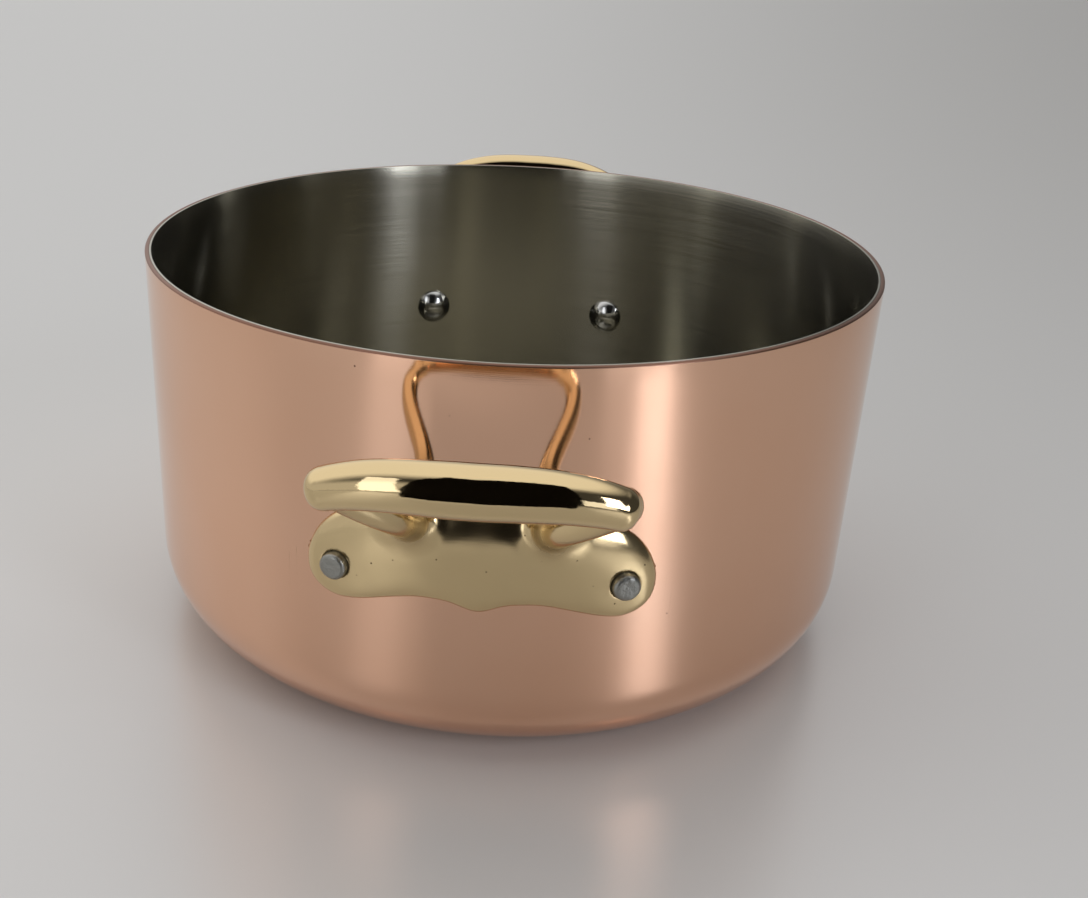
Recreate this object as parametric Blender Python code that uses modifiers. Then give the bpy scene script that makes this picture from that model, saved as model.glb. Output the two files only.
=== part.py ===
"""Two-handled copper casserole pot: a copper shell, a steel lining, two cast brass handles and four rivets.

Metres, +Z up. The origin is the centre of the base, on the surface that the pot stands on.
The handles lie on the Y axis, the front one towards -Y.
"""

import math

import bmesh
import bpy
import numpy as np
from mathutils import Matrix

# Pot body
outer_diameter = 0.240
pot_height = 0.1266
corner_radius = 0.0268
copper_thickness = 0.0013
lining_thickness = 0.0004
rim_round = 0.0005

# Rivets: a handle's two rivets lie on one level line, so far below the rim and so far apart along the wall
rivet_drop = 0.0613
rivet_spacing = 0.0773
shank_diameter = 0.0078
head_diameter = 0.0139
head_height = 0.0036
head_edge = 0.0004
tail_length = 0.0027
tail_chamfer = 0.0008

# Handle plate, measured along the wall from its middle, and up and down from the rivet line
plate_thickness = 0.0042
lobe_overhang = 0.0099
lobe_round = 0.0110
lobe_depth = 0.0110
lobe_tip_rise = 0.0005
tip_round = 0.0060
waist_depth = 0.0064
waist_half_length = 0.0140
dip_depth = 0.0027
dip_half_length = 0.0060
plate_rise = 0.0210
shoulder_fall = 0.0060

# Handle bar, measured out from the wall at the handle's middle, and up from the rivet line
bar_length = 0.0744
bar_reach = 0.0486
bar_rise = 0.0498
bar_bow = 0.0037
bar_sag = 0.0032
bar_diameter = 0.0129
bar_end_diameter = 0.0104

# Handle arms: the root in the plate, and the pulls (across, out, up) that bend each arm on its way to the bar
arm_root_spacing = 0.0392
arm_root_depth = 0.0020
arm_root_rise = 0.0158
arm_root_pull = (-0.0052, 0.0315, 0.0120)
arm_end_pull = (0.0134, -0.0276, -0.0106)
arm_root_size = (0.0098, 0.0096)
arm_middle_size = (0.0062, 0.0084)
arm_end_size = (0.0084, 0.0076)

# Clearance between neighbouring pieces
fit_gap = 0.0003

# Fineness of the round shapes
wall_segments = 96
corner_steps = 6
rim_steps = 2
rivet_segments = 24
dome_steps = 4
plate_rows = 41
plate_face_points = 11
arm_rows = 17
arm_points = 12
bar_points = 15
bar_end_points = 3
bar_bevel_resolution = 4

# Exponents of the rounded forms: 2 is an ellipse, and higher is squarer
plate_low_edge = 4.5
plate_top_edge = 2.0
tip_edge = 3.0
bar_sag_power = 3.4
bar_end_edge = 2.7

# Where the plate is thickest, as a share of its height from the lower edge
crest_share = 0.4

# The lofts and tubes end on small flats a little before their tips: a share of the way, and degrees of the round
tip_share = 0.97
bar_end_turn = 82

# Values that follow from the ones above
outer_radius = outer_diameter / 2
lining_radius = outer_radius - copper_thickness - fit_gap
inner_radius = lining_radius - lining_thickness
lining_bottom = copper_thickness + fit_gap
rivet_height = pot_height - rivet_drop
rivet_angle = rivet_spacing / 2 / outer_radius
hole_radius = shank_diameter / 2 + fit_gap
handle_back = outer_radius + fit_gap
tail_end = handle_back + plate_thickness + tail_length
plate_half_length = rivet_spacing / 2 + lobe_overhang
handle_turns = {"front": 0.0, "rear": math.pi}
side_signs = {"left": -1, "right": 1}


def make_collection(name):
    collection = bpy.data.collections.new(name)
    bpy.context.scene.collection.children.link(collection)
    return collection


def make_metal(name, colour, roughness):
    """A metal of one plain colour, given as linear red, green and blue."""
    metal = bpy.data.materials.new(name)
    metal.use_nodes = True
    shader = metal.node_tree.nodes["Principled BSDF"]
    shader.inputs["Base Color"].default_value = (*colour, 1.0)
    shader.inputs["Metallic"].default_value = 1.0
    shader.inputs["Roughness"].default_value = roughness
    return metal


def add_object(name, mesh, collection, metal=None):
    thing = bpy.data.objects.new(name, mesh)
    collection.objects.link(thing)
    if metal:
        mesh.materials.append(metal)
    return thing


def add_solid(name, shape, collection):
    """An object from a bmesh, which is freed."""
    mesh = bpy.data.meshes.new(name)
    shape.to_mesh(mesh)
    shape.free()
    return add_object(name, mesh, collection)


def add_boolean(thing, other, operation):
    boolean = thing.modifiers.new(other.name, "BOOLEAN")
    boolean.operation = operation
    boolean.object = other
    boolean.solver = "EXACT"


def evaluated_mesh(thing):
    view = thing.evaluated_get(bpy.context.evaluated_depsgraph_get())
    return bpy.data.meshes.new_from_object(view)


def shade_round(mesh):
    mesh.shade_smooth()
    mesh.set_sharp_from_angle(angle=math.radians(35))


def arc(centre, radius, start, end, steps):
    """Points of a circular arc in a profile's plane, from one angle to another in degrees."""
    angles = np.radians(np.linspace(start, end, steps + 1))
    return [(centre[0] + radius * math.cos(a), centre[1] + radius * math.sin(a)) for a in angles]


def add_turned(name, profile, segments, collection, metal):
    """Turn a profile of (radius, height) points, whose two ends are on the axis, about Z."""
    mesh = bpy.data.meshes.new(name)
    points = [(radius, 0.0, height) for radius, height in profile]
    edges = [(i, i + 1) for i in range(len(points) - 1)]
    mesh.from_pydata(points, edges, [])
    thing = add_object(name, mesh, collection, metal)
    screw = thing.modifiers.new("turn", "SCREW")
    screw.steps = segments
    screw.render_steps = segments
    screw.use_merge_vertices = True
    screw.merge_threshold = 0.00001
    return thing


def cup_profile(radius, bottom, corner, wall, rim):
    """A cup's section: out along the inner floor, up the inner wall, over the rim and down the outer side."""
    inner_corner = corner - wall
    inner_wall = radius - wall
    corner_centre = (radius - corner, bottom + corner)
    inside = arc(corner_centre, inner_corner, -90, 0, corner_steps)
    edge = [(radius, pot_height)]
    if rim:
        edge = arc((radius - rim, pot_height - rim), rim, 90, 0, rim_steps)
    outside = arc(corner_centre, corner, 0, -90, corner_steps)
    return [(0, bottom + wall), *inside, (inner_wall, pot_height), *edge, *outside, (0, bottom)]


def add_shell(rivet_holes, collection):
    copper = make_metal("polished_copper", (0.80, 0.40, 0.28), 0.12)
    rim = min(rim_round, copper_thickness * 0.7)
    profile = cup_profile(outer_radius, 0, corner_radius, copper_thickness, rim)
    shell = add_turned("copper_shell", profile, wall_segments, collection, copper)
    add_boolean(shell, rivet_holes, "DIFFERENCE")


def add_lining(rivet_holes, collection):
    steel = make_metal("brushed_stainless_steel", (0.45, 0.43, 0.39), 0.32)
    corner = corner_radius - lining_bottom
    profile = cup_profile(lining_radius, lining_bottom, corner, lining_thickness, 0)
    lining = add_turned("steel_lining", profile, wall_segments, collection, steel)
    add_boolean(lining, rivet_holes, "DIFFERENCE")


def add_rivet_holes(collection):
    """One round bar for each rivet hole, from inside the pot to past the rivet's outer end."""
    inner = inner_radius - head_height
    length = tail_end + tail_length - inner
    shape = bmesh.new()
    for turn in handle_turns.values():
        for sign in side_signs.values():
            aim = Matrix.Translation((0, 0, rivet_height))
            aim = aim @ Matrix.Rotation(turn + sign * rivet_angle, 4, "Z") @ Matrix.Rotation(math.pi / 2, 4, "X")
            place = aim @ Matrix.Translation((0, 0, inner + length / 2))
            bmesh.ops.create_cone(
                shape, cap_ends=True, segments=rivet_segments,
                radius1=hole_radius, radius2=hole_radius, depth=length, matrix=place)
    return add_solid("rivet_holes", shape, collection)


def add_wall_cutter(collection):
    """The pot's outer wall and the clearance round it, as one solid round bar."""
    shape = bmesh.new()
    place = Matrix.Translation((0, 0, pot_height))
    bmesh.ops.create_cone(
        shape, cap_ends=True, segments=wall_segments,
        radius1=handle_back, radius2=handle_back, depth=2 * pot_height, matrix=place)
    return add_solid("wall_clearance", shape, collection)


def add_rivets(collection):
    """Each rivet lies along its own Z axis, which starts on the pot's axis and points out through the wall."""
    steel = make_metal("rivet_steel", (0.42, 0.42, 0.41), 0.25)
    head_radius = head_diameter / 2
    shank_radius = shank_diameter / 2
    seat = math.sqrt(inner_radius ** 2 - head_radius ** 2) - fit_gap
    dome_base = seat - head_edge
    dome = [(head_radius * math.cos(a), dome_base - (head_height - head_edge) * math.sin(a))
            for a in np.linspace(0, math.pi / 2, dome_steps + 1)[:-1]]
    profile = [
        (0, tail_end), (shank_radius - tail_chamfer, tail_end), (shank_radius, tail_end - tail_chamfer),
        (shank_radius, seat), (head_radius, seat), *dome, (0, seat - head_height)]
    for end, turn in handle_turns.items():
        for side, sign in side_signs.items():
            rivet = add_turned(f"{end}_{side}_rivet", profile, rivet_segments, collection, steel)
            rivet.location = (0, 0, rivet_height)
            rivet.rotation_euler = (math.pi / 2, 0, turn + sign * rivet_angle)


def add_closed(name, mesh, collection):
    """An object from a mesh whose doubled points are joined and whose faces are turned outwards."""
    shape = bmesh.new()
    shape.from_mesh(mesh)
    bpy.data.meshes.remove(mesh)
    bmesh.ops.remove_doubles(shape, verts=shape.verts, dist=0.000001)
    bmesh.ops.recalc_face_normals(shape, faces=shape.faces)
    return add_solid(name, shape, collection)


def add_loft(name, rings, collection):
    """A closed solid through rings of points (rows, points, 3), with a flat face over each end."""
    rows, count = rings.shape[:2]
    index = np.arange(rows * count).reshape(rows, count)
    following = np.roll(index, -1, axis=1)
    sides = np.stack([index[:-1], following[:-1], following[1:], index[1:]], axis=-1).reshape(-1, 4)
    mesh = bpy.data.meshes.new(name)
    faces = [*sides.tolist(), index[0][::-1].tolist(), index[-1].tolist()]
    mesh.from_pydata(rings.reshape(-1, 3).tolist(), [], faces)
    return add_closed(name, mesh, collection)


def smoothstep(value):
    share = np.clip(value, 0, 1)
    return share * share * (3 - 2 * share)


def add_plate(collection):
    """The lobed plate, lofted along the wall from tip to tip.

    The lower edge runs from a small dip in the middle over the waist to the lobes, the upper edge falls
    from the middle like a parabola, and both close round each tip.
    """
    along = plate_half_length * np.sin(np.linspace(-1, 1, plate_rows) * tip_share * math.pi / 2)
    run = np.abs(along)
    rivet_run = rivet_spacing / 2
    dip = dip_depth * np.exp(-(run / dip_half_length) ** 2)
    lobe = (lobe_depth - waist_depth) * smoothstep((run - waist_half_length) / (rivet_run - waist_half_length))
    low = -waist_depth - dip - lobe
    top = plate_rise - shoulder_fall * (run / rivet_run) ** 2
    past_lobe = np.clip((run - plate_half_length + lobe_round) / lobe_round, 0, 1)
    closing = np.sqrt(1 - past_lobe ** 2)
    low = lobe_tip_rise + (low - lobe_tip_rise) * closing
    top = lobe_tip_rise + (top - lobe_tip_rise) * closing
    past_tip = np.clip((run - plate_half_length + tip_round) / tip_round, 0, 1)
    thick = (plate_thickness + fit_gap) * (1 - past_tip ** tip_edge) ** (1 / tip_edge)

    turn = np.linspace(-math.pi / 2, math.pi / 2, plate_face_points)
    power = 2 / np.where(turn < 0, plate_low_edge, plate_top_edge)
    height = np.sign(turn) * np.abs(np.sin(turn)) ** power
    bulge = np.abs(np.cos(turn)) ** power
    bulge[[0, -1]] = 0
    crest = low + (top - low) * crest_share
    reach = np.where(height < 0, (crest - low)[:, None], (top - crest)[:, None])
    up = crest[:, None] + height * reach
    out = thick[:, None] * bulge
    buried = np.full((plate_rows, 1), -plate_thickness)
    up = np.hstack([up[:, :1], up, up[:, -1:]])
    out = np.hstack([buried, out, buried])
    angle = (along / outer_radius)[:, None]
    radius = outer_radius + out
    rings = np.stack([radius * np.sin(angle), -radius * np.cos(angle), rivet_height + up], axis=-1)
    return add_loft("handle_plate", rings, collection)


def add_arm(sign, collection):
    """One arm: an oval carried along a cubic Bezier curve, from the plate to the middle of the bar's end."""
    end_across = (bar_length - bar_end_diameter) / 2
    root = np.array([arm_root_spacing / 2, -arm_root_depth, arm_root_rise])
    end = np.array([end_across, bar_reach - bar_bow, bar_rise - bar_sag])
    pull_a = root + arm_root_pull
    pull_b = end + arm_end_pull
    t = np.linspace(0, 1, arm_rows)[:, None]
    rest = 1 - t
    path = rest ** 3 * root + 3 * rest ** 2 * t * pull_a + 3 * rest * t ** 2 * pull_b + t ** 3 * end
    heading = rest ** 2 * (pull_a - root) + 2 * rest * t * (pull_b - pull_a) + t ** 2 * (end - pull_b)
    heading /= np.linalg.norm(heading, axis=1, keepdims=True)
    across = np.cross(heading, (0, 0, 1))
    across /= np.linalg.norm(across, axis=1, keepdims=True)
    upward = np.cross(across, heading)

    middle = np.array(arm_middle_size)
    near_root = np.clip(1 - 2 * t, 0, 1) ** 2
    near_end = np.clip(2 * t - 1, 0, 1) ** 2
    size = middle + near_root * (arm_root_size - middle) + near_end * (arm_end_size - middle)
    turn = np.linspace(0, 2 * math.pi, arm_points, endpoint=False)[:, None]
    wide = np.cos(turn) * across[:, None] * size[:, None, :1] / 2
    tall = np.sin(turn) * upward[:, None] * size[:, None, 1:] / 2
    rings = path[:, None] + wide + tall
    rings = rings * (sign, -1, 1) + (0, -outer_radius, rivet_height)
    return add_loft("handle_arm", rings, collection)


def add_bar(collection):
    """The bowed bar: a tube that thins towards its blunt round ends, as a curve made into a mesh."""
    half = (bar_length - bar_end_diameter) / 2
    share = np.linspace(-1, 1, bar_points)
    across = half * share
    out = bar_reach - bar_bow * share ** 2
    up = bar_rise - bar_sag * np.abs(share) ** bar_sag_power
    thick = (bar_diameter + (bar_end_diameter - bar_diameter) * share ** 2) / bar_diameter
    path = np.stack([across, -outer_radius - out, rivet_height + up, thick], axis=1)

    # Each end goes on straight from the last point, a little squarer than a half round, and closes to a small flat
    turn = np.linspace(0, math.radians(bar_end_turn), bar_end_points + 1)[1:, None]
    forward = np.sin(turn) ** (2 / bar_end_edge)
    narrow = np.cos(turn) ** (2 / bar_end_edge)
    end_radius = bar_end_diameter / 2
    heading = path[-1, :3] - path[-2, :3]
    heading /= np.linalg.norm(heading)
    cap = np.hstack([path[-1, :3] + end_radius * forward * heading, thick[-1] * narrow])
    path = np.vstack([cap[::-1] * (-1, 1, 1, 1), path, cap])

    curve = bpy.data.curves.new("handle_bar", "CURVE")
    curve.dimensions = "3D"
    curve.fill_mode = "FULL"
    curve.use_fill_caps = True
    curve.bevel_depth = bar_diameter / 2
    curve.bevel_resolution = bar_bevel_resolution
    spline = curve.splines.new("POLY")
    spline.points.add(len(path) - 1)
    for point, (x, y, z, radius) in zip(spline.points, path.tolist()):
        point.co = (x, y, z, 1)
        point.radius = radius
    tube = add_object("handle_bar_curve", curve, collection)
    mesh = evaluated_mesh(tube)
    bpy.data.objects.remove(tube)
    return add_closed("handle_bar", mesh, collection)


def add_handles(rivet_holes, collection, helpers):
    """One casting, joined from plate, arms and bar and fitted to the wall, stands at the front and the rear."""
    brass = make_metal("cast_brass", (0.80, 0.62, 0.30), 0.10)
    plate = add_plate(helpers)
    for sign in side_signs.values():
        add_boolean(plate, add_arm(sign, helpers), "UNION")
    add_boolean(plate, add_bar(helpers), "UNION")
    add_boolean(plate, add_wall_cutter(helpers), "DIFFERENCE")
    add_boolean(plate, rivet_holes, "DIFFERENCE")
    casting = evaluated_mesh(plate)
    casting.name = "handle_casting"
    casting.materials.clear()
    casting.materials.append(brass)
    shade_round(casting)
    for end, turn in handle_turns.items():
        handle = add_object(f"{end}_handle", casting, collection)
        handle.rotation_euler = (0, 0, turn)


def build():
    for thing in list(bpy.data.objects):
        bpy.data.objects.remove(thing)
    pot = make_collection("casserole_pot")
    helpers = make_collection("cutters")
    rivet_holes = add_rivet_holes(helpers)
    add_shell(rivet_holes, pot)
    add_lining(rivet_holes, pot)
    add_handles(rivet_holes, pot, helpers)
    add_rivets(pot)
    for helper in helpers.objects:
        helper.display_type = "WIRE"
        helper.hide_render = True


build()
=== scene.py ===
import math

import bpy
import numpy as np
from mathutils import Matrix


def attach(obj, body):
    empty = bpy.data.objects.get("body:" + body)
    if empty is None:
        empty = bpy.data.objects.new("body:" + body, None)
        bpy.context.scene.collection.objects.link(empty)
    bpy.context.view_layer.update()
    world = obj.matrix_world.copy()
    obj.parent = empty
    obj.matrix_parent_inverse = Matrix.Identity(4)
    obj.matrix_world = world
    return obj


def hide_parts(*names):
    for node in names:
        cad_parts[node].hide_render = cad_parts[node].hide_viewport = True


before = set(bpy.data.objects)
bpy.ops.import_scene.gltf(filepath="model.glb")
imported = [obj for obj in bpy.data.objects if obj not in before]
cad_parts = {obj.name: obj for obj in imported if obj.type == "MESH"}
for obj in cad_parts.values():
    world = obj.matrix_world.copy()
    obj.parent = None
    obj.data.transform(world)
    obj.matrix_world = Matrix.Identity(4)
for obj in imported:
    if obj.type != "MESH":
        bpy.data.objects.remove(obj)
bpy.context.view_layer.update()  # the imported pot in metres, +Z up, standing on z = 0


# Small helpers

def linearColour(hexCode):
    # sRGB hex to linear: the low end is a straight line, the rest a power of 2.4
    channels = np.array([int(hexCode[i:i + 2], 16) for i in (1, 3, 5)]) / 255
    linear = np.where(channels <= 0.04045, channels / 12.92, ((channels + 0.055) / 1.055) ** 2.4)
    return (*linear.tolist(), 1.0)


def addNode(tree, kind, inputs=None, **settings):
    # inputs maps a socket's name or number to a value, or to another node's output, which is linked
    made = tree.nodes.new(kind)
    for name, value in settings.items():
        setattr(made, name, value)
    for name, value in (inputs or {}).items():
        if isinstance(value, bpy.types.NodeSocket):
            tree.links.new(value, made.inputs[name])
        else:
            made.inputs[name].default_value = value
    return made


def addMesh(name, points, quads, triangles=()):
    # Arrays straight into the mesh: points (n, 3), quads (q, 4) and triangles (t, 3)
    quads = np.asarray(quads, dtype=np.int32).reshape(-1, 4)
    triangles = np.asarray(triangles, dtype=np.int32).reshape(-1, 3)
    corners = np.concatenate([quads.ravel(), triangles.ravel()])
    sizes = np.concatenate([np.full(len(quads), 4), np.full(len(triangles), 3)])
    mesh = bpy.data.meshes.new(name)
    mesh.vertices.add(len(points))
    mesh.vertices.foreach_set("co", np.ascontiguousarray(points, dtype=np.float32).ravel())
    mesh.loops.add(len(corners))
    mesh.loops.foreach_set("vertex_index", corners)
    mesh.polygons.add(len(sizes))
    mesh.polygons.foreach_set("loop_start", np.concatenate([[0], np.cumsum(sizes)[:-1]]).astype(np.int32))
    mesh.update(calc_edges=True)
    mesh.validate()
    return mesh


def addPiece(name, mesh, material, node):
    # A finished piece: object at the origin, its place in the mesh, riding on the root body
    piece = bpy.data.objects.new(name, mesh)
    bpy.context.scene.collection.objects.link(piece)
    mesh.materials.clear()
    mesh.materials.append(material)
    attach(piece, "root")
    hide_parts(node)
    return piece


def poseMatrix(right, up, back, place):
    # Where something stands and how it is turned, from its own x, y and z axes
    pose = Matrix.Identity(4)
    for row in range(3):
        pose[row][0], pose[row][1], pose[row][2] = right[row], up[row], back[row]
        pose[row][3] = place[row]
    return pose


def roundCorner(centre, radius, start, end, steps):
    # Points of a circular arc in the (radius, height) plane, angles in degrees
    turn = np.radians(np.linspace(start, end, steps + 1))
    return np.stack([centre[0] + radius * np.cos(turn), centre[1] + radius * np.sin(turn)], axis=1)


def turnedMesh(name, profile, columns, place=None):
    # A closed profile that starts and ends on the axis, carried round it:
    # (r, h) and angle a give (r cos a, r sin a, h). place may move the points afterwards.
    turn = np.linspace(0, 2 * math.pi, columns, endpoint=False)
    rings = profile[1:-1]
    points = np.stack([
        rings[:, :1] * np.cos(turn),
        rings[:, :1] * np.sin(turn),
        np.repeat(rings[:, 1:], columns, axis=1),
    ], axis=-1)
    if place is not None:
        points = place(points)
    ends = np.array([[0, 0, profile[0, 1]], [0, 0, profile[-1, 1]]])
    if place is not None:
        ends = place(ends[:, None])[:, 0]
    row = np.arange(len(rings))[:, None] * columns
    column = np.arange(columns)[None]
    beside = (column + 1) % columns
    quads = np.stack([
        row[:-1] + column, row[:-1] + beside, row[1:] + beside, row[1:] + column,
    ], axis=-1).reshape(-1, 4)
    first = len(rings) * columns
    last = row[-1] + column[0]
    triangles = np.concatenate([
        np.stack([np.full(columns, first), beside[0], column[0]], axis=1),
        np.stack([np.full(columns, first + 1), last, row[-1] + beside[0]], axis=1),
    ])
    return addMesh(name, np.concatenate([points.reshape(-1, 3), ends]), quads, triangles)


# Camera: where the photograph was taken from, in metres and radians

photoCamera = dict(
    place=(0.016983, -0.414363, 0.237060),
    yaw=-0.0752,
    pitch=0.4342,
    roll=0.0368,
    focalPixels=1260.73,
    imageSize=(1088, 898),
    axisPixel=(462.387, 459.368),
    sensorWidth=36.0,
    turn=math.radians(-0.17),  # the whole view turned a little round the pot
)


def addCamera(view):
    yaw, pitch, roll = view["yaw"], view["pitch"], view["roll"]
    ahead = np.array([math.sin(yaw) * math.cos(pitch), math.cos(yaw) * math.cos(pitch), -math.sin(pitch)])
    level = np.array([math.cos(yaw), -math.sin(yaw), 0])
    upright = np.cross(level, ahead)
    right = math.cos(roll) * level + math.sin(roll) * upright
    up = -math.sin(roll) * level + math.cos(roll) * upright
    pose = poseMatrix(right, up, -ahead, view["place"])
    width, height = view["imageSize"]
    data = bpy.data.cameras.new("photoCamera")
    data.sensor_width = view["sensorWidth"]
    data.lens = view["sensorWidth"] * view["focalPixels"] / width
    data.shift_x = (width / 2 - view["axisPixel"][0]) / width
    data.shift_y = (view["axisPixel"][1] - height / 2) / width
    data.clip_start, data.clip_end = 0.01, 50
    camera = bpy.data.objects.new("photoCamera", data)
    bpy.context.scene.collection.objects.link(camera)
    camera.matrix_world = Matrix.Rotation(view["turn"], 4, "Z") @ pose
    bpy.context.scene.camera = camera


addCamera(photoCamera)
print("camera set")


# Materials

noiseSpan = (0.3, 0.7)  # most of a noise pattern lies between these


def emptyTree(owner):
    # The node tree of a material or a world, without the nodes that it comes with
    owner.use_nodes = True
    owner.node_tree.nodes.clear()
    return owner.node_tree


def addMath(tree, operation, *values):
    return addNode(tree, "ShaderNodeMath", dict(enumerate(values)), operation=operation).outputs[0]


def addRange(tree, value, start, end, low=0.0, high=1.0, curve="LINEAR"):
    # Goes from low to high while the value goes from start to end, and holds still beyond them
    return addNode(tree, "ShaderNodeMapRange", {
        "Value": value, "From Min": start, "From Max": end, "To Min": low, "To Max": high,
    }, interpolation_type=curve).outputs[0]


def addNoise(tree, place, scale, detail, roughness):
    return addNode(tree, "ShaderNodeTexNoise", {
        "Vector": place, "Scale": scale, "Detail": detail, "Roughness": roughness,
    }).outputs["Fac"]


def mixColours(tree, share, first, second):
    # The first colour where the share is 0, and the second, a hex code, where it is 1
    return addNode(tree, "ShaderNodeMix", {
        "Factor": share, 6: first, 7: linearColour(second),
    }, data_type="RGBA").outputs[2]


def mixNumbers(tree, share, first, second):
    return addNode(tree, "ShaderNodeMix", {
        "Factor": share, "A": first, "B": second,
    }, data_type="FLOAT").outputs[0]


def addBump(tree, height, strength, depth, **more):
    # Gives the node itself, so that another bump can be linked under it
    return addNode(tree, "ShaderNodeBump", {
        "Height": height, "Strength": strength, "Distance": depth,
    }, **more)


def addSurface(tree, kind, inputs):
    shader = addNode(tree, kind, inputs)
    addNode(tree, "ShaderNodeOutputMaterial", {"Surface": shader.outputs[0]})


def addMetal(tree, inputs):
    # A bare metal; what inputs leaves out keeps its default, as the IOR does
    addSurface(tree, "ShaderNodeBsdfPrincipled", {"Metallic": 1.0, **inputs})


def roundBrushed(tree, strength):
    # For metal worked round the pot's axis: highlights are drawn out across the fine lines
    tangent = addNode(tree, "ShaderNodeTangent", direction_type="RADIAL", axis="Z")
    return {"Anisotropic": strength, "Anisotropic Rotation": 0.25, "Tangent": tangent.outputs[0]}


def axisDistance(tree, place):
    # How far each point lies from the pot's axis
    flat = addNode(tree, "ShaderNodeVectorMath", {0: place, 1: (1, 1, 0)}, operation="MULTIPLY")
    return addNode(tree, "ShaderNodeVectorMath", {0: flat.outputs[0]}, operation="LENGTH").outputs["Value"]


def turnedLines(tree, place, width, length, detail, roughness):
    # Fine lines round the pot: the pattern runs slowly along x and y, and fast with height plus
    # distance from the axis, so it follows the wall, the round corner and the floor
    split = addNode(tree, "ShaderNodeSeparateXYZ", {0: place})
    rise = addMath(tree, "ADD", axisDistance(tree, place), split.outputs["Z"])
    along = addNode(tree, "ShaderNodeCombineXYZ", {
        "X": addMath(tree, "MULTIPLY", split.outputs["X"], 1 / length),
        "Y": addMath(tree, "MULTIPLY", split.outputs["Y"], 1 / length),
        "Z": addMath(tree, "MULTIPLY", rise, 1 / width),
    })
    return addNoise(tree, along.outputs[0], 1.0, detail, roughness)


def specks(tree, place, size, spread, share):
    # 1 on small uneven specks, one in some of the cells of a cell pattern, and 0 elsewhere
    uneven = addNode(tree, "ShaderNodeTexNoise", {"Vector": place, "Scale": 1 / size, "Detail": 1.0})
    shifted = addNode(tree, "ShaderNodeVectorMath", {
        0: uneven.outputs["Color"], 1: (size, size, size), 2: place,
    }, operation="MULTIPLY_ADD")
    cells = addNode(tree, "ShaderNodeTexVoronoi", {"Vector": shifted.outputs[0], "Scale": 1 / spread})
    edge = size / spread
    near = addRange(tree, cells.outputs["Distance"], edge * 0.6, edge, 1.0, 0.0)
    split = addNode(tree, "ShaderNodeSeparateColor", {"Color": cells.outputs["Color"]})
    return addMath(tree, "MULTIPLY", near, addMath(tree, "LESS_THAN", split.outputs[0], share))


copperLooks = dict(
    colour="#EDC1A5",
    warmColour="#EAB99A",
    roughness=(0.06, 0.10),
    anisotropy=0.8,
    cloudSize=0.045,
    hairlineWidth=0.0005,
    hairlineLength=0.030,
    hairlineBump=0.06,
    hairlineDepth=0.0001,
    rimHeight=0.1263,
    rimFade=0.0002,
    # painted dark reflection: the darker brown of the rim's cut edge
    rimDarkReflectionColour="#8A6655",
    rimRoughness=0.45,
    speckColour="#5A3A2C",
    speckSize=0.0003,
    speckSpread=0.012,
    speckShare=0.45,
)


def polishedCopper(looks):
    # Copper, spun and machine polished: a salmon mirror, softly clouded, whose faint polishing lines
    # round the wall draw reflections out a little up and down. The rim's cut edge is dull, and painted
    # a darker brown as a painted dark reflection, and a few dark specks are left in the polish.
    material = bpy.data.materials.new("polishedCopper")
    tree = emptyTree(material)
    place = addNode(tree, "ShaderNodeTexCoord").outputs["Object"]
    cloud = addNoise(tree, place, 1 / looks["cloudSize"], 3.0, 0.55)
    clean = mixColours(tree, cloud, linearColour(looks["colour"]), looks["warmColour"])
    dots = specks(tree, place, looks["speckSize"], looks["speckSpread"], looks["speckShare"])
    dotted = mixColours(tree, dots, clean, looks["speckColour"])
    height = addNode(tree, "ShaderNodeSeparateXYZ", {0: place}).outputs["Z"]
    rim = addRange(tree, height, looks["rimHeight"] - looks["rimFade"], looks["rimHeight"])
    polish = addRange(tree, cloud, *noiseSpan, *looks["roughness"])
    lines = turnedLines(tree, place, looks["hairlineWidth"], looks["hairlineLength"], 4.0, 0.6)
    bump = addBump(tree, lines, looks["hairlineBump"], looks["hairlineDepth"])
    addMetal(tree, {
        # The rim's cut edge is painted darker brown, a painted dark reflection along the rim; its dullness
        # is real
        "Base Color": mixColours(tree, rim, dotted, looks["rimDarkReflectionColour"]),
        "Roughness": mixNumbers(tree, rim, polish, looks["rimRoughness"]),
        "Normal": bump.outputs[0],
        **roundBrushed(tree, looks["anisotropy"]),
    })
    return material


liningLooks = dict(
    colour="#BCB8AA",
    lineColour="#A7A395",
    lineSpan=(0.35, 0.65),
    roughness=(0.17, 0.21),
    anisotropy=1.0,
    lineWidth=0.0003,
    lineLength=0.060,
    lineBump=0.08,
    lineDepth=0.0001,
)


def brushedSteel(looks):
    # Stainless steel, brushed round and round: grey with fine level lines, and lamps show in it as
    # upright streaks
    material = bpy.data.materials.new("brushedStainlessSteel")
    tree = emptyTree(material)
    place = addNode(tree, "ShaderNodeTexCoord").outputs["Object"]
    lines = turnedLines(tree, place, looks["lineWidth"], looks["lineLength"], 5.0, 0.65)
    shade = addRange(tree, lines, *looks["lineSpan"])
    bump = addBump(tree, lines, looks["lineBump"], looks["lineDepth"])
    addMetal(tree, {
        "Base Color": mixColours(tree, shade, linearColour(looks["lineColour"]), looks["colour"]),
        "Roughness": addRange(tree, lines, *noiseSpan, *looks["roughness"]),
        "Normal": bump.outputs[0],
        **roundBrushed(tree, looks["anisotropy"]),
    })
    return material


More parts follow.
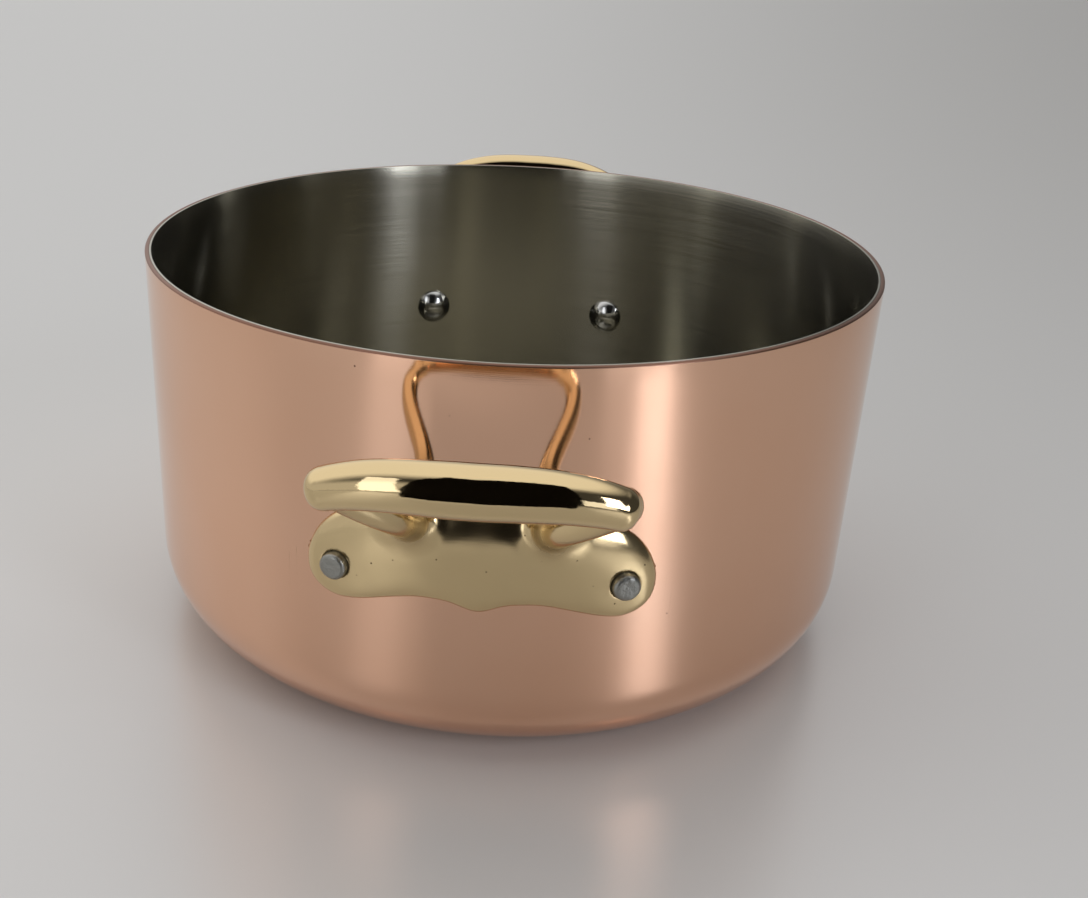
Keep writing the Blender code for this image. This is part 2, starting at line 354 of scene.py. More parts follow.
brassLooks = dict(
    colour="#DAC295",
    # painted shade: the darker brass in the crease round the arms' roots
    creaseShadeColour="#B8A57C",
    pitColour="#4A3B1E",
    plateRoughness=0.18,
    barRoughness=0.055,
    creaseRoughness=0.18,
    # from the pot's axis: plate to bar, into the crease and out of it, and the plate's face
    polishRise=(0.132, 0.155),
    creaseStart=(0.1245, 0.1265),
    creaseEnd=(0.131, 0.138),
    plateReach=0.130,
    cloudGain=(0.85, 1.15),
    waveSize=0.009,
    waveBump=0.15,
    waveDepth=0.0002,
    hairlineWidth=0.0004,
    hairlineLength=0.012,
    hairlineBump=0.06,
    hairlineDepth=0.0001,
    pitSize=0.0003,
    pitSpread=0.004,
    pitShare=0.8,
    pitBump=0.6,
    pitDepth=0.0001,
)


def polishedBrass(looks):
    # Brass, sand cast and polished by hand: a pale gold mirror on the bar, satin towards the plate,
    # duller round the arms' roots where no wheel reaches and painted darker there as shade, with slow
    # waves, faint lengthwise polishing lines and a few fine pits
    material = bpy.data.materials.new("castPolishedBrass")
    tree = emptyTree(material)
    place = addNode(tree, "ShaderNodeTexCoord").outputs["Object"]
    radius = axisDistance(tree, place)
    wave = addNoise(tree, place, 1 / looks["waveSize"], 2.0, 0.5)
    polish = addRange(tree, radius, *looks["polishRise"], looks["plateRoughness"], looks["barRoughness"])
    cloud = addRange(tree, wave, *noiseSpan, *looks["cloudGain"])
    crease = addRange(tree, radius, *looks["creaseEnd"], addRange(tree, radius, *looks["creaseStart"]), 0.0)
    dull = addMath(tree, "MULTIPLY_ADD", crease, looks["creaseRoughness"], polish)
    # Painted shade: the brass colour is darkened in the crease round the arms' roots
    creaseShaded = mixColours(tree, crease, linearColour(looks["colour"]), looks["creaseShadeColour"])
    pits = specks(tree, place, looks["pitSize"], looks["pitSpread"], looks["pitShare"])
    pits = addMath(tree, "MULTIPLY", pits, addMath(tree, "LESS_THAN", radius, looks["plateReach"]))
    width, length = looks["hairlineWidth"], looks["hairlineLength"]
    drawn = addNode(tree, "ShaderNodeVectorMath", {
        0: place, 1: (1 / length, 1 / width, 1 / width),
    }, operation="MULTIPLY")
    hairlines = addNoise(tree, drawn.outputs[0], 1.0, 3.0, 0.6)
    hairBump = addBump(tree, hairlines, looks["hairlineBump"], looks["hairlineDepth"])
    waveBump = addBump(tree, wave, looks["waveBump"], looks["waveDepth"])
    pitBump = addBump(tree, pits, looks["pitBump"], looks["pitDepth"], invert=True)
    tree.links.new(hairBump.outputs[0], waveBump.inputs["Normal"])
    tree.links.new(waveBump.outputs[0], pitBump.inputs["Normal"])
    addMetal(tree, {
        "Base Color": mixColours(tree, pits, creaseShaded, looks["pitColour"]),
        "Roughness": addMath(tree, "MULTIPLY", dull, cloud),
        "Normal": pitBump.outputs[0],
    })
    return material


rivetLooks = dict(
    colour="#C4C3C0",
    headRoughness=0.16,
    tailRoughness=0.36,
    tailColour="#96958F",
    tailStart=(0.119, 0.121),  # from the pot's axis, inside the wall
    grainScale=700.0,
    grainBump=0.9,
    grainDepth=0.0003,
)


def rivetSteel(looks):
    # Stainless steel rivets: heads polished bright inside the pot, tails hammered and satin outside it
    material = bpy.data.materials.new("forgedStainlessRivet")
    tree = emptyTree(material)
    place = addNode(tree, "ShaderNodeTexCoord").outputs["Object"]
    outer = addRange(tree, axisDistance(tree, place), *looks["tailStart"])
    grain = addNoise(tree, place, looks["grainScale"], 3.0, 0.6)
    bump = addBump(tree, addMath(tree, "MULTIPLY", grain, outer), looks["grainBump"], looks["grainDepth"])
    addMetal(tree, {
        "Base Color": mixColours(tree, outer, linearColour(looks["colour"]), looks["tailColour"]),
        "Roughness": mixNumbers(tree, outer, looks["headRoughness"], looks["tailRoughness"]),
        "Normal": bump.outputs[0],
    })
    return material


copper = polishedCopper(copperLooks)
liningSteel = brushedSteel(liningLooks)
brass = polishedBrass(brassLooks)
rivetMetal = rivetSteel(rivetLooks)
print("materials made")


# Pot body: two turned skins, the copper outside and the steel lining inside it

pot = dict(
    outerRadius=0.1200,
    height=0.1266,
    cornerRadius=0.0268,
    copperThickness=0.0013,
    liningThickness=0.00068,
    seam=0.00002,
    rimRound=0.0005,
    rimBreak=0.00012,
    columns=384,
    wallSteps=33,
    cornerSteps=22,
    floorSteps=7,
    rivetHeight=0.0653,
    rivetAngle=0.0773 / 2 / 0.1200,
    rivetHole=0.0040,
    boreSpan=(0.110, 0.128),
)


def wallRows(low, high, middle):
    # Heights up the wall, closest where the rivets pass through
    spread = np.linspace(-1, 1, pot["wallSteps"])
    reach = np.where(spread < 0, low - middle, high - middle)
    return middle + reach * np.abs(spread) ** 1.6


def cupProfile(outer, inner, bottom, floor, corner, rimRound, rimBreak):
    # From the middle of the underside out, up the outside, over the rim, and down and in to the middle
    innerCorner = corner - (outer - inner)
    centre = outer - corner
    steps = pot["floorSteps"]
    foot = np.stack([np.linspace(0, centre, steps), np.full(steps, bottom)], axis=1)
    turnUp = roundCorner((centre, bottom + corner), corner, -90, 0, pot["cornerSteps"])
    up = wallRows(bottom + corner, pot["height"] - rimRound, pot["rivetHeight"])
    outside = np.stack([np.full(len(up), outer), up], axis=1)
    rim = roundCorner((outer - rimRound, pot["height"] - rimRound), rimRound, 0, 90, 8)
    lip = roundCorner((inner + rimBreak, pot["height"] - rimBreak), rimBreak, 90, 180, 3)
    down = wallRows(floor + innerCorner, pot["height"] - rimBreak, pot["rivetHeight"])[::-1]
    inside = np.stack([np.full(len(down), inner), down], axis=1)
    turnIn = roundCorner((centre, floor + innerCorner), innerCorner, 0, -90, pot["cornerSteps"])
    floorRings = np.stack([np.linspace(centre, 0, steps), np.full(steps, floor)], axis=1)
    parts = [foot[:-1], turnUp[:-1], outside[:-1], rim, lip[:-1], inside[:-1], turnIn[:-1], floorRings]
    return np.concatenate(parts)


def rivetDirections():
    # Unit vectors from the pot's axis out through the four rivets
    turns = [pot["rivetAngle"] * side + half for half in (0, math.pi) for side in (-1, 1)]
    names = ["front_left_rivet", "front_right_rivet", "rear_left_rivet", "rear_right_rivet"]
    return {name: (math.sin(turn), -math.cos(turn)) for name, turn in zip(names, turns)}


def placedAlong(direction):
    # Carries points made round +Z to the level line that runs out through a rivet
    outX, outY = direction

    def place(points):
        x, y, z = points[..., 0], points[..., 1], points[..., 2]
        return np.stack([
            z * outX + y * outY,
            z * outY - y * outX,
            pot["rivetHeight"] + x,
        ], axis=-1)
    return place


def boreRivetHoles(mesh):
    # Cuts the four rivet holes through a turned skin
    piece = bpy.data.objects.new("boring", mesh)
    bpy.context.scene.collection.objects.link(piece)
    start, end = pot["boreSpan"]
    rod = np.array([[0, start], [pot["rivetHole"], start], [pot["rivetHole"], end], [0, end]])
    cutters = []
    for name, direction in rivetDirections().items():
        rodMesh = turnedMesh("cutter", rod, 64, placedAlong(direction))
        cutter = bpy.data.objects.new(name + "_cutter", rodMesh)
        bpy.context.scene.collection.objects.link(cutter)
        cut = piece.modifiers.new("hole", "BOOLEAN")
        cut.object = cutter
        cut.operation = "DIFFERENCE"
        cut.solver = "EXACT"
        cutters.append(cutter)
    bored = bpy.data.meshes.new_from_object(piece.evaluated_get(bpy.context.evaluated_depsgraph_get()))
    for thing in [piece, *cutters]:
        bpy.data.objects.remove(thing)
    return bored


def smoothShaded(mesh, sharpAngle=None):
    # Smooth all over, but for edges that turn by more than the sharp angle in degrees
    mesh.shade_smooth()
    if sharpAngle:
        mesh.set_sharp_from_angle(angle=math.radians(sharpAngle))
    return mesh


copperInner = pot["outerRadius"] - pot["copperThickness"]
liningOuter = copperInner - pot["seam"]
liningInner = liningOuter - pot["liningThickness"]
shellProfile = cupProfile(
    pot["outerRadius"], copperInner, 0.0, pot["copperThickness"],
    pot["cornerRadius"], pot["rimRound"], pot["rimBreak"],
)
liningProfile = cupProfile(
    liningOuter, liningInner, pot["copperThickness"] + pot["seam"],
    pot["copperThickness"] + pot["seam"] + pot["liningThickness"],
    pot["cornerRadius"] - pot["copperThickness"] - pot["seam"], pot["rimBreak"], pot["rimBreak"],
)
shellMesh = smoothShaded(boreRivetHoles(turnedMesh("copper_wall", shellProfile, pot["columns"])), 35)
liningMesh = smoothShaded(boreRivetHoles(turnedMesh("steel_skin", liningProfile, pot["columns"])), 35)
addPiece("copper_wall", shellMesh, copper, "copper_shell")
addPiece("steel_skin", liningMesh, liningSteel, "steel_lining")
print("pot body made:", len(shellMesh.polygons), len(liningMesh.polygons), "faces")


# Rivets: a domed head inside the pot, a plain shank, and a hammered tail outside the plate

rivet = dict(
    shankRadius=0.0039,
    headRadius=0.00695,
    headSeat=0.1179,
    headCrown=0.1139,
    headEdge=0.0006,
    seatRound=0.0001,
    neckRound=0.0002,
    tailStart=0.1245,
    tailEnd=0.1272,
    tailChamfer=0.0008,
    hammerLean=0.05,
    hammerFlat=0.00015,
    dimpleDepth=0.00006,
    unevenness=0.012,
    columns=96,
)


def rivetProfile():
    # (radius, distance from the pot's axis), from the crown of the dome out to the tail's flat end
    seat, end, chamfer = rivet["headSeat"], rivet["tailEnd"], rivet["tailChamfer"]
    head, shank = rivet["headRadius"], rivet["shankRadius"]
    seatRound, neckRound = rivet["seatRound"], rivet["neckRound"]
    edge = seat - rivet["headEdge"]
    rise = edge - rivet["headCrown"]
    ball = (head ** 2 + rise ** 2) / (2 * rise)
    span = math.degrees(math.asin(head / ball))
    dome = roundCorner((0, edge - rise + ball), ball, -90, -90 + span, 14)
    rim = [[head, seat - seatRound], [head - seatRound, seat]]
    neck = [[shank + neckRound, seat], [shank, seat + neckRound]]
    rows = np.linspace(seat + 3 * neckRound, end - chamfer - neckRound, 8)
    body = np.stack([np.full(8, shank), rows], axis=1)
    tail = [
        [shank - chamfer * 0.05, end - chamfer],
        [shank - chamfer * 0.55, end - chamfer * 0.42],
        [shank - chamfer * 0.95, end - chamfer * 0.1],
        [shank - chamfer * 1.15, end],
        [shank * 0.5, end],
        [0, end],
    ]
    return np.concatenate([dome, rim, neck, body, tail])


def hammered(place, seed):
    # The tail's end is set by hammer: a slight lean, a few flats, and an outline that isn't quite round
    random = np.random.default_rng(seed)
    lean = random.uniform(-rivet["hammerLean"], rivet["hammerLean"], 2)
    phase = random.uniform(0, 2 * math.pi, 4)

    def shape(points):
        x, y, z = points[..., 0], points[..., 1], points[..., 2]
        tail = np.clip((z - rivet["tailStart"]) / (rivet["tailEnd"] - rivet["tailStart"]), 0, 1)
        turn = np.arctan2(y, x)
        lobes = np.sin(2 * turn + phase[0]) + np.sin(3 * turn + phase[1])
        uneven = np.where(tail > 0, 1 - rivet["unevenness"] * (1 + tail * lobes), 1)
        dimples = 1 + np.sin(900 * x + phase[2]) * np.sin(800 * y + phase[3])
        low = tail ** 2 * (rivet["hammerFlat"] + lean[0] * x + lean[1] * y)
        low = low + tail ** 4 * rivet["dimpleDepth"] * dimples
        return place(np.stack([x * uneven, y * uneven, z - np.maximum(low, 0)], axis=-1))
    return shape


for seed, (name, direction) in enumerate(rivetDirections().items()):
    shape = hammered(placedAlong(direction), seed)
    rivetMesh = turnedMesh(name + "_metal", rivetProfile(), rivet["columns"], shape)
    addPiece(name + "_metal", smoothShaded(rivetMesh, 50), rivetMetal, name)
print("rivets made")


# Handles: one casting of a lobed plate, two arms and a bowed bar, worked out as a field that is
# negative inside the metal. A smooth least of the three fields gives the fillets of the casting.

handle = dict(
    plateThickness=0.0045,
    halfLength=0.04855,
    rivetRun=0.03865,
    lobeRound=0.0110,
    lobeDepth=0.0110,
    tipRise=0.0005,
    tipRound=0.0060,
    waistDepth=0.0064,
    waistHalf=0.0140,
    dipDepth=0.0027,
    dipHalf=0.0060,
    plateRise=0.0210,
    shoulderFall=0.0060,
    crestShare=0.4,
    lowEdge=4.5,
    topEdge=2.0,
    tipEdge=3.0,
    barHalf=0.0320,
    barReach=0.0486,
    barRise=0.0498,
    barBow=0.0037,
    barSag=0.0032,
    sagPower=3.4,
    barRadius=0.00642,
    barEndRadius=0.0052,
    barEndEdge=2.7,
    armRoot=(0.0196, -0.0020, 0.0158),
    armRootPull=(-0.0052, 0.0315, 0.0120),
    armEndPull=(0.0134, -0.0276, -0.0106),
    armRootSize=(0.0049, 0.0048),
    armMiddleSize=(0.0031, 0.0042),
    armEndSize=(0.0042, 0.0038),
    rootFillet=0.0065,
    barFillet=0.0050,
    filletTurn=(0.45, 0.85),  # the bar's fillet grows where it faces the arm by this much
    wallGap=0.00005,
    backRound=0.0005,
    holeRound=0.0004,
    waveHeight=0.00002,
    waveLengths=(0.024, 0.019, 0.015, 0.012, 0.010, 0.009),
    usualWave=0.015,  # the length of a wave that is waveHeight high
    plateZone=(0.018, 0.035),  # the plate lies nearer and lower than this
    barZone=(0.026, 0.026),  # the bar lies farther and higher than this
    netLow=(0.0, -0.1775, 0.0525),
    netHigh=(0.0505, -0.1080, 0.1240),
    pitch=0.00045,
    coarse=4,
)


def smoothStep(value):
    value = np.clip(value, 0, 1)
    return value * value * (3 - 2 * value)


def smoothLeast(a, b, reach):
    # The smaller of two fields, with a fillet where they are within reach of each other
    reach = np.maximum(reach, 1e-6)
    near = np.maximum(reach - np.abs(a - b), 0) / reach
    return np.minimum(a, b) - near * near * reach / 4


def plateShape(x, y, z):
    # Below 1 inside the plate. Along the wall, the lower edge dips in the middle and swells to the two
    # lobes, the upper edge falls like a parabola, and both close round each tip. Across it, the section
    # is a superellipse, squarer below the crest than above it.
    along = pot["outerRadius"] * np.arctan2(x, -y)
    out = np.maximum(np.hypot(x, y) - pot["outerRadius"], 0)
    up = z - pot["rivetHeight"]
    run = np.abs(along)
    dip = handle["dipDepth"] * np.exp(-(run / handle["dipHalf"]) ** 2)
    swell = smoothStep((run - handle["waistHalf"]) / (handle["rivetRun"] - handle["waistHalf"]))
    low = -handle["waistDepth"] - dip - (handle["lobeDepth"] - handle["waistDepth"]) * swell
    top = handle["plateRise"] - handle["shoulderFall"] * (run / handle["rivetRun"]) ** 2
    pastLobe = np.maximum(run - handle["halfLength"] + handle["lobeRound"], 0) / handle["lobeRound"]
    closing = np.sqrt(np.maximum(1 - pastLobe ** 2, 0.0025))
    low = handle["tipRise"] + (low - handle["tipRise"]) * closing
    top = handle["tipRise"] + (top - handle["tipRise"]) * closing
    pastTip = np.maximum(run - handle["halfLength"] + handle["tipRound"], 0) / handle["tipRound"]
    edge = handle["tipEdge"]
    thick = np.maximum(1 - pastTip ** edge, 0.001) ** (1 / edge) * handle["plateThickness"]
    crest = low + (top - low) * handle["crestShare"]
    height = np.where(up < crest, (crest - up) / (crest - low), (up - crest) / (top - crest))
    power = np.where(up < crest, handle["lowEdge"], handle["topEdge"])
    section = ((out / thick) ** power + height ** power) ** (1 / power)
    return np.maximum(section, 1 + (run - handle["halfLength"]) / handle["lobeRound"])


def plateField(points):
    # The plate's shape turned to a distance by dividing by its slope
    step = 0.00002
    x, y, z = points.T
    here = plateShape(x, y, z)
    rises = [plateShape(*(points + step * unit).T) - here for unit in np.eye(3)]
    slope = np.sqrt(sum(rise ** 2 for rise in rises))
    return (here - 1) * step / np.maximum(slope, step * 20)


def nearestOnPath(points, path, radius, low, high, samples):
    # For each point, the place on a path whose ball comes nearest: the best of some samples, then refined
    place = np.linspace(low, high, samples)
    balls, reach = path(place)[0], radius(place)
    best = np.empty(len(points))
    for start in range(0, len(points), 40000):
        part = points[start:start + 40000]
        apart = np.sqrt(((part[:, None] - balls[None]) ** 2).sum(-1)) - reach
        best[start:start + 40000] = place[apart.argmin(1)]
    step = 1e-4
    for _ in range(4):
        values = []
        for shift in (-step, 0, step):
            at = best + shift
            values.append(np.linalg.norm(points - path(at)[0], axis=1) - radius(at))
        rise = (values[2] - values[0]) / (2 * step)
        bend = (values[2] - 2 * values[1] + values[0]) / step ** 2
        move = rise / np.where(bend > 1e-4, bend, np.inf)
        best = np.clip(best - np.clip(move, -2 / samples, 2 / samples), low, high)
    return best


def barPath(share):
    # Middle line of the bar: level in plan but bowed towards the wall, and drooping to its ends
    power = handle["sagPower"]
    across = handle["barHalf"] * share
    out = handle["barReach"] - handle["barBow"] * share ** 2
    up = handle["barRise"] - handle["barSag"] * np.abs(share) ** power
    drop = handle["barSag"] * power * np.abs(share) ** (power - 1) * np.sign(share)
    level = np.full(np.shape(share), handle["barHalf"])
    heading = np.stack([level, 2 * handle["barBow"] * share, -drop], axis=-1)
    heading /= np.linalg.norm(heading, axis=-1, keepdims=True)
    return np.stack([across, -pot["outerRadius"] - out, pot["rivetHeight"] + up], axis=-1), heading


def barRadius(share):
    return handle["barRadius"] + (handle["barEndRadius"] - handle["barRadius"]) * share ** 2


def barField(points):
    # Round across the bar, and a superellipse past its ends, which makes them blunt. Also gives how far
    # each point lies to the side that the arm comes from, -1 to 1
    share = nearestOnPath(points, barPath, barRadius, -1, 1, 65)
    middle, heading = barPath(share)
    offset = points - middle
    apart = np.maximum(np.linalg.norm(offset, axis=1), 1e-6)
    past = np.abs((offset * heading).sum(1))
    beside = np.sqrt(np.maximum(apart ** 2 - past ** 2, 0))
    edge = handle["barEndEdge"]
    shape = (beside ** edge + past ** edge) ** (1 / edge) / barRadius(share)
    arrival = np.tile(armPath(np.ones(1))[1][0], (len(points), 1))
    arrival[:, 0] *= np.where(points[:, 0] < 0, -1, 1)
    return apart - apart / np.maximum(shape, 1e-6), -(offset * arrival).sum(1) / apart


def armPath(t):
    # A cubic curve from the plate to the bar's end, drawn out by a pull at each end, and its heading
    root = np.array(handle["armRoot"])
    end = np.array([
        handle["barHalf"],
        handle["barReach"] - handle["barBow"],
        handle["barRise"] - handle["barSag"],
    ])
    pullA = root + handle["armRootPull"]
    pullB = end + handle["armEndPull"]
    t = np.asarray(t)[..., None]
    rest = 1 - t
    path = rest ** 3 * root + 3 * rest ** 2 * t * pullA + 3 * rest * t ** 2 * pullB + t ** 3 * end
    heading = rest ** 2 * (pullA - root) + 2 * rest * t * (pullB - pullA) + t ** 2 * (end - pullB)
    heading = heading / np.linalg.norm(heading, axis=-1, keepdims=True)
    flip = np.array([1, -1, 1])
    return path * flip + (0, -pot["outerRadius"], pot["rivetHeight"]), heading * flip


def armSize(t):
    # Half width and half height of the arm's oval, thickest at its two ends
    t = np.asarray(t)[..., None]
    middle = np.array(handle["armMiddleSize"])
    nearRoot = np.clip(1 - 2 * t, 0, 1) ** 2
    nearEnd = np.clip(2 * t - 1, 0, 1) ** 2
    return middle + nearRoot * (handle["armRootSize"] - middle) + nearEnd * (handle["armEndSize"] - middle)


def armField(points):
    # An oval carried along the arm's curve; both arms in one, by the distance from the middle plane
    points = points.copy()
    points[:, 0] = np.abs(points[:, 0])
    t = nearestOnPath(points, armPath, lambda at: np.zeros(np.shape(at)), 0, 1, 33)
    centre, heading = armPath(t)
    across = np.cross(heading, (0, 0, 1))
    across /= np.linalg.norm(across, axis=1, keepdims=True)
    upward = np.cross(across, heading)
    size = armSize(t)
    offset = points - centre
    wide = (offset * across).sum(1) / size[:, 0]
    tall = (offset * upward).sum(1) / size[:, 1]
    past = (offset * heading).sum(1) / size.mean(1)
    shape = np.sqrt(wide ** 2 + tall ** 2 + past ** 2)
    apart = np.linalg.norm(offset, axis=1)
    return apart - apart / np.maximum(shape, 1e-6)


def waves(points):
    # Slow unevenness left by hand polishing: a few sine waves in chance directions, longer ones higher
    random = np.random.default_rng(7)
    height = np.zeros(len(points))
    for length in handle["waveLengths"]:
        direction = random.normal(size=3)
        direction *= 2 * math.pi / length / np.linalg.norm(direction)
        wave = np.sin(points @ direction + random.uniform(0, 2 * math.pi))
        height += wave * length / handle["usualWave"]
    return height * handle["waveHeight"]


def handleField(points):
    # Plate, arms and bar, each worked out only where it can matter, then joined, cut to the wall and bored
    x, y, z = points.T
    out = np.hypot(x, y) - pot["outerRadius"]
    up = z - pot["rivetHeight"]
    far = 0.02
    plate, bar, facing = (np.full(len(points), far) for _ in range(3))
    nearPlate = (out < handle["plateZone"][0]) & (up < handle["plateZone"][1])
    nearBar = (out > handle["barZone"][0]) & (up > handle["barZone"][1])
    plate[nearPlate] = plateField(points[nearPlate])
    bar[nearBar], facing[nearBar] = barField(points[nearBar])
    metal = smoothLeast(plate, armField(points), handle["rootFillet"])
    start, end = handle["filletTurn"]
    metal = smoothLeast(metal, bar, handle["barFillet"] * smoothStep((facing - start) / (end - start)))
    metal = metal + waves(points)
    metal = -smoothLeast(-metal, out - handle["wallGap"], handle["backRound"])
    turn = pot["rivetAngle"]
    along = np.abs(x) * math.sin(turn) - y * math.cos(turn)
    beside = np.abs(x) * math.cos(turn) + y * math.sin(turn)
    hole = np.where(along > 0, np.hypot(beside, up), far)
    return -smoothLeast(-metal, hole - pot["rivetHole"], handle["holeRound"])


def netSurface(values, corner, pitch):
    # One point in each cell of a grid that the surface passes through, at the mean of where the field
    # changes sign on the cell's edges, and a face round each edge where it does
    inside = values < 0
    count = 0
    for at in np.ndindex(2, 2, 2):
        window = tuple(slice(shift, size - 1 + shift) for shift, size in zip(at, values.shape))
        count = count + inside[window].astype(np.int8)
    active = (count > 0) & (count < 8)
    cells = np.argwhere(active)
    number = np.full(active.shape, -1, dtype=np.int32)
    number[active] = np.arange(len(cells))
    total, hits = np.zeros((len(cells), 3)), np.zeros((len(cells), 1))
    quads = []
    unit = np.eye(3, dtype=int)
    for axis in range(3):
        sideA, sideB = (axis + 1) % 3, (axis + 2) % 3
        for a in (0, 1):
            for b in (0, 1):
                shift = a * unit[sideA] + b * unit[sideB]
                first = values[tuple((cells + shift).T)]
                second = values[tuple((cells + shift + unit[axis]).T)]
                crosses = ((first < 0) != (second < 0))[:, None]
                share = first / np.where(first == second, 1, first - second)
                total += np.where(crosses, shift + share[:, None] * unit[axis], 0)
                hits += crosses
        ahead = [slice(1, -1)] * 3
        behind = [slice(1, -1)] * 3
        ahead[axis], behind[axis] = slice(1, None), slice(0, -1)
        flips = inside[tuple(behind)] != inside[tuple(ahead)]
        edges = np.argwhere(flips) + 1
        edges[:, axis] -= 1
        around = [number[tuple((edges - a * unit[sideA] - b * unit[sideB]).T)]
                  for a, b in ((1, 1), (0, 1), (0, 0), (1, 0))]
        faces = np.stack(around, axis=1)
        outward = inside[tuple(edges.T)]
        faces[~outward] = faces[~outward][:, ::-1]
        quads.append(faces)
    return corner + pitch * (cells + total / hits), np.concatenate(quads)


def handlePoints():
    # The field on half a grid, mirrored, then netted, and each point moved onto the field's zero.
    # One point in each coarse block is worked out first, and the rest only where the surface may be near
    pitch, coarse = handle["pitch"], handle["coarse"]
    low, high = np.array(handle["netLow"]), np.array(handle["netHigh"])
    blocks = np.ceil((high - low) / pitch / coarse).astype(int)
    axes = [low[a] + pitch * (np.arange(blocks[a] * coarse) + (0.5 if a == 0 else 0)) for a in range(3)]
    grid = np.stack(np.meshgrid(*axes, indexing="ij"), axis=-1)
    middle = slice(coarse // 2, None, coarse)
    first = grid[middle, middle, middle]
    half = handleField(first.reshape(-1, 3)).reshape(blocks)
    half = half.repeat(coarse, 0).repeat(coarse, 1).repeat(coarse, 2)
    near = np.abs(half) < pitch * coarse * 1.7
    half[near] = handleField(grid[near])
    whole = np.concatenate([half[::-1], half])
    points, quads = netSurface(whole, np.array([-axes[0][-1], low[1], low[2]]), pitch)
    step = 0.00003
    for _ in range(2):
        here = handleField(points)
        slope = np.stack([
            handleField(points + step * unit) - handleField(points - step * unit) for unit in np.eye(3)
        ], axis=1) / (2 * step)
        steep = np.maximum((slope ** 2).sum(1), 0.25)
        move = -here[:, None] * slope / steep[:, None]
        long = np.linalg.norm(move, axis=1, keepdims=True)
        points = points + move * np.minimum(1, pitch / np.maximum(long, 1e-12))
    return points, quads


castPoints, castQuads = handlePoints()
for name, sign in (("front_handle", 1), ("rear_handle", -1)):
    handleMesh = smoothShaded(addMesh(name + "_casting", castPoints * (sign, sign, 1), castQuads))
    addPiece(name + "_casting", handleMesh, brass, name)
print("handles made:", len(castQuads), "faces each")


# Studio: a pale floor, soft boxes and a dark card in front that the metal mirrors

studio = dict(
    floorColour="#CFCDCA",
    floorRoughness=0.30,
    floorIor=2.1,
    floorSize=8.0,
    ceiling=1.05,
    frontCeiling=0.05,
    leftWall=0.62,
    rightWall=0.06,
    backGain=0.10,
    ceilingTilt=(-0.3, 0.2, 1.0),
    backdrop=0.50,
    aimHeight=0.06,
    # where the parts of the room fade into each other, by a direction's x, y, y and tilt
    sideFade=(-0.3, 0.5),
    backFade=(0.4, 0.9),
    overheadFade=(-0.55, -0.10),
    ceilingFade=(0.45, 0.75),
    # name: azimuth, elevation, lean, distance, width, height, brightness, colour
    # azimuth 0 is towards the camera and 90 to the right
    boxes=dict(
        rightWindow=(49, 24, 24, 1.6, 0.27, 0.85, 8.5, "#EFF4FF"),
        rightWindowLow=(36, 11, 14, 1.6, 0.34, 0.50, 1.4, "#F1F5FF"),
        leftWindow=(-33, 25, -15, 1.6, 0.36, 1.45, 1.5, "#F4F7FF"),
    ),
    # x and z of the black card's corners, and how far it stands in front of the axis
    cardCorners=((-0.125, 0.02), (0.14, 0.02), (0.57, 1.38), (-0.20, 1.38)),
    cardDistance=0.44,
    cardColour="#141210",
)


def addSoftBox(name, azimuth, elevation, lean, distance, width, height, brightness, colour):
    # A lamp aimed at the pot. Its power makes it as bright as asked at any size
    turn, rise = math.radians(azimuth), math.radians(elevation)
    toward = np.array([math.sin(turn) * math.cos(rise), -math.cos(turn) * math.cos(rise), math.sin(rise)])
    data = bpy.data.lights.new(name, "AREA")
    data.shape = "RECTANGLE"
    data.size, data.size_y = width, height
    data.energy = brightness * math.pi * width * height
    data.color = linearColour(colour)[:3]
    box = bpy.data.objects.new(name, data)
    bpy.context.scene.collection.objects.link(box)
    level = np.array([math.cos(turn), math.sin(turn), 0])
    right = math.cos(math.radians(lean)) * level - math.sin(math.radians(lean)) * np.cross(toward, level)
    up = np.cross(toward, right)
    place = np.array([0, 0, studio["aimHeight"]]) + toward * distance
    box.matrix_world = poseMatrix(right, up, toward, place)


def addStageCard(name, corners, material):
    mesh = addMesh(name, np.array(corners), [[0, 1, 2, 3]])
    mesh.materials.append(material)
    card = bpy.data.objects.new(name, mesh)
    bpy.context.scene.collection.objects.link(card)
    return card


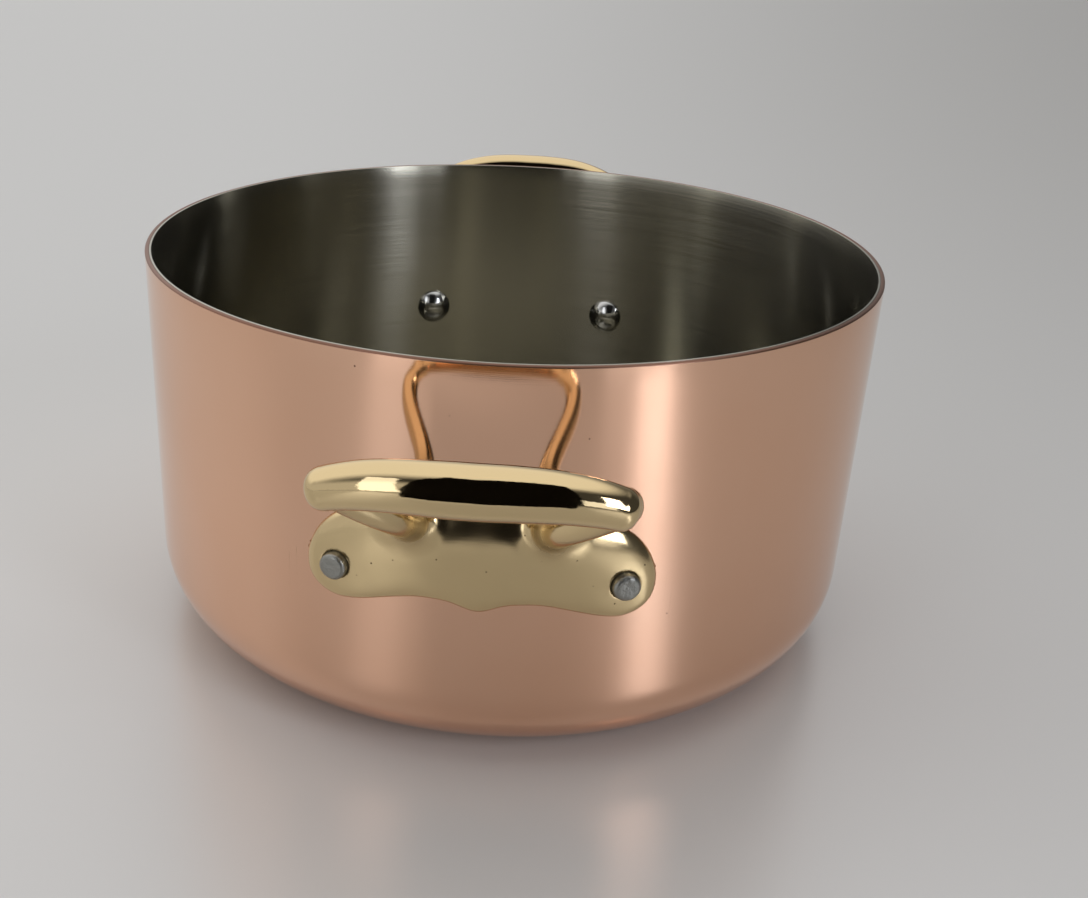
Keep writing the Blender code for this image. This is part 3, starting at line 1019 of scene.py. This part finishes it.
def addStudio():
    paint = bpy.data.materials.new("paleTableTop")
    addSurface(emptyTree(paint), "ShaderNodeBsdfPrincipled", {
        "Base Color": linearColour(studio["floorColour"]),
        "Roughness": studio["floorRoughness"],
        "IOR": studio["floorIor"],
    })
    reach = studio["floorSize"]
    corners = [(-reach, -reach, 0), (reach, -reach, 0), (reach, reach, 0), (-reach, reach, 0)]
    addStageCard("floor", corners, paint)

    felt = bpy.data.materials.new("blackFelt")
    addSurface(emptyTree(felt), "ShaderNodeBsdfDiffuse", {"Color": linearColour(studio["cardColour"])})
    away = -studio["cardDistance"]
    card = addStageCard("frontCard", [(x, away, z) for x, z in studio["cardCorners"]], felt)
    card.visible_camera = False
    card.visible_diffuse = False
    card.visible_shadow = False

    for name, box in studio["boxes"].items():
        addSoftBox(name, *box)


def addRoom():
    # The world: walls that darken to the right, and a ceiling that darkens to the front
    world = bpy.data.worlds.new("studioWorld")
    bpy.context.scene.world = world
    tree = emptyTree(world)
    direction = addNode(tree, "ShaderNodeTexCoord").outputs["Generated"]
    split = addNode(tree, "ShaderNodeSeparateXYZ", {0: direction})

    def fade(value, span, low=0.0, high=1.0):
        return addRange(tree, value, *span, low, high, "SMOOTHSTEP")

    sides = fade(split.outputs["X"], studio["sideFade"], studio["leftWall"], studio["rightWall"])
    back = fade(split.outputs["Y"], studio["backFade"], 0.0, studio["backGain"])
    walls = addMath(tree, "ADD", sides, back)
    overhead = fade(split.outputs["Y"], studio["overheadFade"], studio["frontCeiling"], studio["ceiling"])
    # The ceiling begins lower on the left and behind than on the right and in front
    tilted = addNode(tree, "ShaderNodeVectorMath", {
        0: direction, 1: studio["ceilingTilt"],
    }, operation="DOT_PRODUCT")
    above = fade(tilted.outputs["Value"], studio["ceilingFade"])
    # Seen straight, past the floor's edge, the room is plain and pale
    seen = addNode(tree, "ShaderNodeLightPath").outputs["Is Camera Ray"]
    strength = mixNumbers(tree, seen, mixNumbers(tree, above, walls, overhead), studio["backdrop"])
    background = addNode(tree, "ShaderNodeBackground", {
        "Color": linearColour("#FFFFFF"), "Strength": strength,
    })
    addNode(tree, "ShaderNodeOutputWorld", {"Surface": background.outputs[0]})


addStudio()
addRoom()
bpy.context.scene.view_settings.view_transform = "Standard"
print("studio set")
